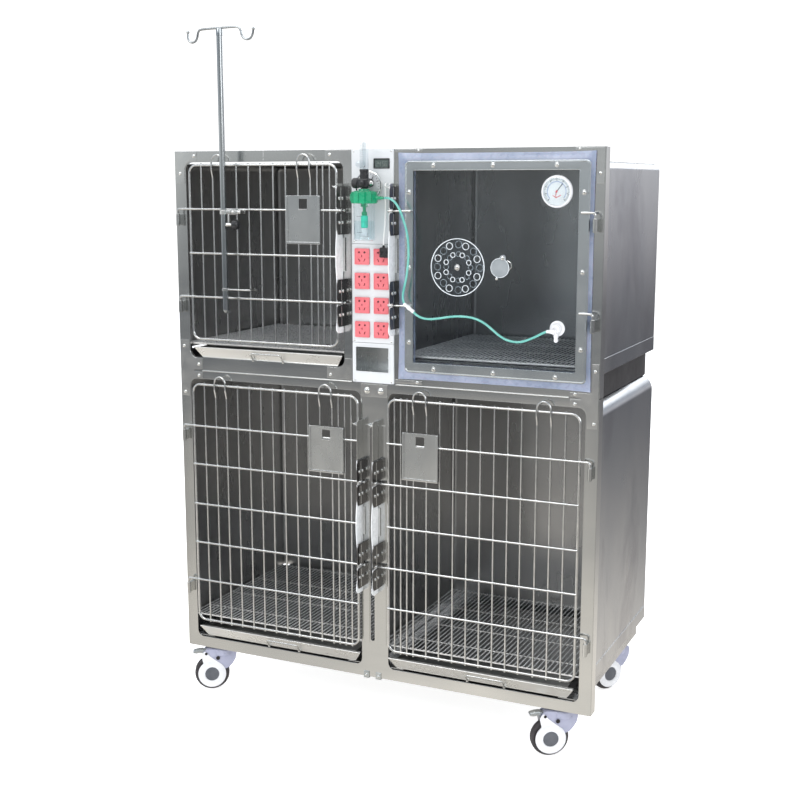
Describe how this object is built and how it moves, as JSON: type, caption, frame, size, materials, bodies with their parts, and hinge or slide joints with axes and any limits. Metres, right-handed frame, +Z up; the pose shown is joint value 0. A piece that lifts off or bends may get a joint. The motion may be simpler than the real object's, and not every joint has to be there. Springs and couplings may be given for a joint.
{
  "type": "kennel cage",
  "caption": "Free-standing stainless steel veterinary kennel cage: wire-door cages, a sealed oxygen chamber and a service panel, with slide-out trays, sliding latches, a drip pole and casters.",
  "frame": {"origin": "centre of the bounding box's footprint, on the floor under the wheels", "axes": "+X to the right seen from the front, +Y from the doors to the back, +Z up"},
  "size_m": [1.22, 0.6406, 1.871],
  "materials": {
    "cabinet_steel": "satin",
    "dark_steel": "satin black",
    "frame_steel": "satin",
    "base_steel": "satin",
    "rivet_steel": "polished",
    "catch_steel": "dark polished",
    "wire_steel": "polished",
    "door_steel": "brushed",
    "panel_white": "semi-gloss",
    "socket_red": "satin",
    "display_dark": "glossy",
    "black_plastic": "glossy",
    "clear_plastic": "clear",
    "pane_clear": "clear",
    "cap_green": "glossy",
    "lead_white": "matte",
    "gasket_lavender": "matte",
    "gauge_white": "glossy",
    "hose_teal": "glossy",
    "latch_white": "glossy",
    "tray_steel": "bright",
    "housing_lavender": "glossy",
    "tread_grey": "matte",
    "pedal_zinc": "satin"
  },
  "bodies": {
    "cabinet": {"shell_upper_left": "cabinet_steel", "shell_upper_right": "cabinet_steel", "shell_lower_left": "cabinet_steel", "shell_lower_right": "cabinet_steel", "panel_housing": "cabinet_steel", "plinth_upper": "dark_steel", "plinth_lower": "cabinet_steel", "base_rails": "base_steel", "front_frame_upper": "frame_steel", "front_frame_lower": "frame_steel", "corner_plates": "frame_steel", "frame_rivets": "rivet_steel", "catch_plates": "catch_steel", "floor_grids": "wire_steel", "control_panel": "panel_white", "socket_modules": "socket_red", "panel_pocket": "cabinet_steel", "panel_display": "display_dark", "flowmeter_body": "black_plastic", "flowmeter_tube": "clear_plastic", "humidifier_cap": "cap_green", "humidifier_bottle": "clear_plastic", "plug_adapter": "black_plastic", "sensor_lead": "lead_white"},
    "flow_knob": {"flow_knob": "black_plastic"},
    "chamber_door": {"door_ring_ur": "door_steel", "door_pane_ur": "pane_clear", "door_gasket_ur": "gasket_lavender", "door_screws_ur": "rivet_steel", "dial_gauge": "gauge_white", "oxygen_port": "gauge_white", "oxygen_hose": "hose_teal", "hose_connector": "gauge_white"},
    "vent_disc": {"vent_disc": "clear_plastic"},
    "port_cover": {"port_cover": "clear_plastic"},
    "door_ul": {"wire_door_ul": "wire_steel", "card_holder_ul": "door_steel", "iv_clamp": "wire_steel"},
    "iv_pole": {"iv_pole": "wire_steel"},
    "door_ll": {"wire_door_ll": "wire_steel", "card_holder_ll": "door_steel"},
    "door_lr": {"wire_door_lr": "wire_steel", "card_holder_lr": "door_steel"},
    "latch_ul": {"latch_bar_ul": "latch_white"},
    "latch_ur": {"latch_bar_ur": "latch_white"},
    "latch_ll": {"latch_bar_ll": "latch_white"},
    "latch_lr": {"latch_bar_lr": "latch_white"},
    "tray_ul": {"tray_ul": "tray_steel"},
    "tray_ll": {"tray_ll": "tray_steel"},
    "tray_lr": {"tray_lr": "tray_steel"},
    "fork_fl": {"caster_fork_fl": "housing_lavender"},
    "wheel_fl": {"caster_wheel_fl": "tread_grey"},
    "fork_fr": {"caster_fork_fr": "housing_lavender"},
    "wheel_fr": {"caster_wheel_fr": "tread_grey"},
    "fork_rl": {"caster_fork_rl": "housing_lavender"},
    "wheel_rl": {"caster_wheel_rl": "tread_grey"},
    "fork_rr": {"caster_fork_rr": "housing_lavender"},
    "wheel_rr": {"caster_wheel_rr": "tread_grey"},
    "pedal_fl": {"brake_pedal_fl": "pedal_zinc"},
    "pedal_fr": {"brake_pedal_fr": "pedal_zinc"}
  },
  "joints": [
    {"name": "chamber_door_hinge", "type": "hinge", "parent": "cabinet", "child": "chamber_door", "pos_m": [0.595, -0.2635, 1.28], "axis": [0, 0, 1], "range_deg": [0, 110]},
    {"name": "door_ul_hinge", "type": "hinge", "parent": "cabinet", "child": "door_ul", "pos_m": [-0.595, -0.2525, 1.28], "axis": [0, 0, -1], "range_deg": [0, 110]},
    {"name": "door_ll_hinge", "type": "hinge", "parent": "cabinet", "child": "door_ll", "pos_m": [-0.595, -0.2525, 0.566], "axis": [0, 0, -1], "range_deg": [0, 110]},
    {"name": "door_lr_hinge", "type": "hinge", "parent": "cabinet", "child": "door_lr", "pos_m": [0.595, -0.2525, 0.566], "axis": [0, 0, 1], "range_deg": [0, 110]},
    {"name": "latch_ul_slide", "type": "slide", "parent": "cabinet", "child": "latch_ul", "axis": [0, 0, -1], "range_m": [0, 0.016]},
    {"name": "latch_ur_slide", "type": "slide", "parent": "cabinet", "child": "latch_ur", "axis": [0, 0, -1], "range_m": [0, 0.016]},
    {"name": "latch_ll_slide", "type": "slide", "parent": "cabinet", "child": "latch_ll", "axis": [0, 0, -1], "range_m": [0, 0.016]},
    {"name": "latch_lr_slide", "type": "slide", "parent": "cabinet", "child": "latch_lr", "axis": [0, 0, -1], "range_m": [0, 0.016]},
    {"name": "tray_ul_slide", "type": "slide", "parent": "cabinet", "child": "tray_ul", "axis": [0, -1, 0], "range_m": [0, 0.4]},
    {"name": "tray_ll_slide", "type": "slide", "parent": "cabinet", "child": "tray_ll", "axis": [0, -1, 0], "range_m": [0, 0.4]},
    {"name": "tray_lr_slide", "type": "slide", "parent": "cabinet", "child": "tray_lr", "axis": [0, -1, 0], "range_m": [0, 0.4]},
    {"name": "flow_knob_turn", "type": "hinge", "parent": "cabinet", "child": "flow_knob", "pos_m": [-0.028, -0.283, 1.469], "axis": [1, 0, 0], "range_deg": [0, 300]},
    {"name": "vent_disc_turn", "type": "hinge", "parent": "chamber_door", "child": "vent_disc", "pos_m": [0.242, -0.254, 1.261], "axis": [0, 1, 0], "range_deg": [0, 22.5]},
    {"name": "port_cover_swing", "type": "hinge", "parent": "chamber_door", "child": "port_cover", "pos_m": [0.362, -0.254, 1.287], "axis": [0, 1, 0], "range_deg": [0, 90]},
    {"name": "iv_pole_slide", "type": "slide", "parent": "door_ul", "child": "iv_pole", "axis": [0, 0, 1], "range_m": [-0.09, 0.04]},
    {"name": "swivel_fl", "type": "hinge", "parent": "cabinet", "child": "fork_fl", "pos_m": [-0.512, -0.205, 0.13], "axis": [0, 0, 1], "continuous": true},
    {"name": "roll_fl", "type": "hinge", "parent": "fork_fl", "child": "wheel_fl", "pos_m": [-0.54168, -0.22355, 0.05], "axis": [-0.5299, 0.848, 0], "continuous": true},
    {"name": "brake_fl", "type": "hinge", "parent": "fork_fl", "child": "pedal_fl", "pos_m": [-0.5561, -0.23256, 0.113], "axis": [0.5299, -0.848, 0], "range_deg": [0, 15]},
    {"name": "swivel_fr", "type": "hinge", "parent": "cabinet", "child": "fork_fr", "pos_m": [0.526, -0.205, 0.13], "axis": [0, 0, 1], "continuous": true},
    {"name": "roll_fr", "type": "hinge", "parent": "fork_fr", "child": "wheel_fr", "pos_m": [0.49632, -0.22355, 0.05], "axis": [-0.5299, 0.848, 0], "continuous": true},
    {"name": "brake_fr", "type": "hinge", "parent": "fork_fr", "child": "pedal_fr", "pos_m": [0.4819, -0.23256, 0.113], "axis": [0.5299, -0.848, 0], "range_deg": [0, 15]},
    {"name": "swivel_rl", "type": "hinge", "parent": "cabinet", "child": "fork_rl", "pos_m": [-0.533, 0.292, 0.13], "axis": [0, 0, 1], "continuous": true},
    {"name": "roll_rl", "type": "hinge", "parent": "fork_rl", "child": "wheel_rl", "pos_m": [-0.55357, 0.26368, 0.05], "axis": [-0.809, 0.5878, 0], "continuous": true},
    {"name": "swivel_rr", "type": "hinge", "parent": "cabinet", "child": "fork_rr", "pos_m": [0.533, 0.292, 0.13], "axis": [0, 0, 1], "continuous": true},
    {"name": "roll_rr", "type": "hinge", "parent": "fork_rr", "child": "wheel_rr", "pos_m": [0.51243, 0.26368, 0.05], "axis": [-0.809, 0.5878, 0], "continuous": true}
  ]
}
